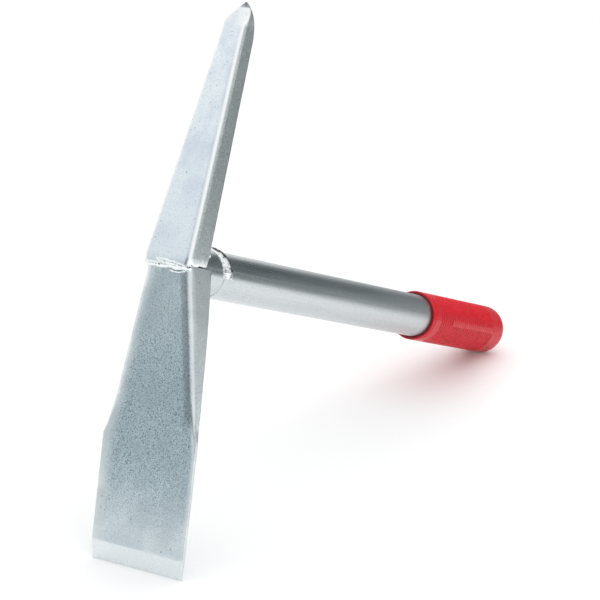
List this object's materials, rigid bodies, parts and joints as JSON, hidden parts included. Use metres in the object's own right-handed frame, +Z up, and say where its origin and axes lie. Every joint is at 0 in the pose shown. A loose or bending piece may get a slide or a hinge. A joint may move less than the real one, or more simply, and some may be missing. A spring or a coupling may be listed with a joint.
{
  "type": "hand pickaxe",
  "caption": "Short hand pickaxe: a welded steel head with a pick point above and a flared, bevelled blade below, on a round tube handle with a ribbed soft grip.",
  "frame": {"origin": "centre of the footprint of the bounding box, on the floor the tool stands on", "axes": "+X runs along the tool from the head to the grip, +Y across the blade, away from the pictured side, +Z up from the floor towards the pick's point; the handle slopes down 21.5 degrees from the head to the grip"},
  "size_m": [0.3982, 0.056, 0.2767],
  "materials": {
    "zinc_plated_steel": "zinc plated steel, soft satin with a faint grain",
    "zinc_plated_forging": "zinc plated over a rougher forged surface with a fine dark speckle, ground bright on the bevel",
    "zinc_plated_weld": "zinc plated weld bead, rippled and glossy",
    "red_soft_pvc": "red dipped soft PVC, satin"
  },
  "bodies": {
    "root": {"pick_arm": "zinc_plated_steel", "blade_arm": "zinc_plated_forging", "seam_weld": "zinc_plated_weld", "spigot": "zinc_plated_steel", "root_weld_upper": "zinc_plated_weld", "root_weld_lower": "zinc_plated_weld", "handle_tube": "zinc_plated_steel", "tube_weld": "zinc_plated_weld", "grip": "red_soft_pvc"}
  },
  "joints": []
}
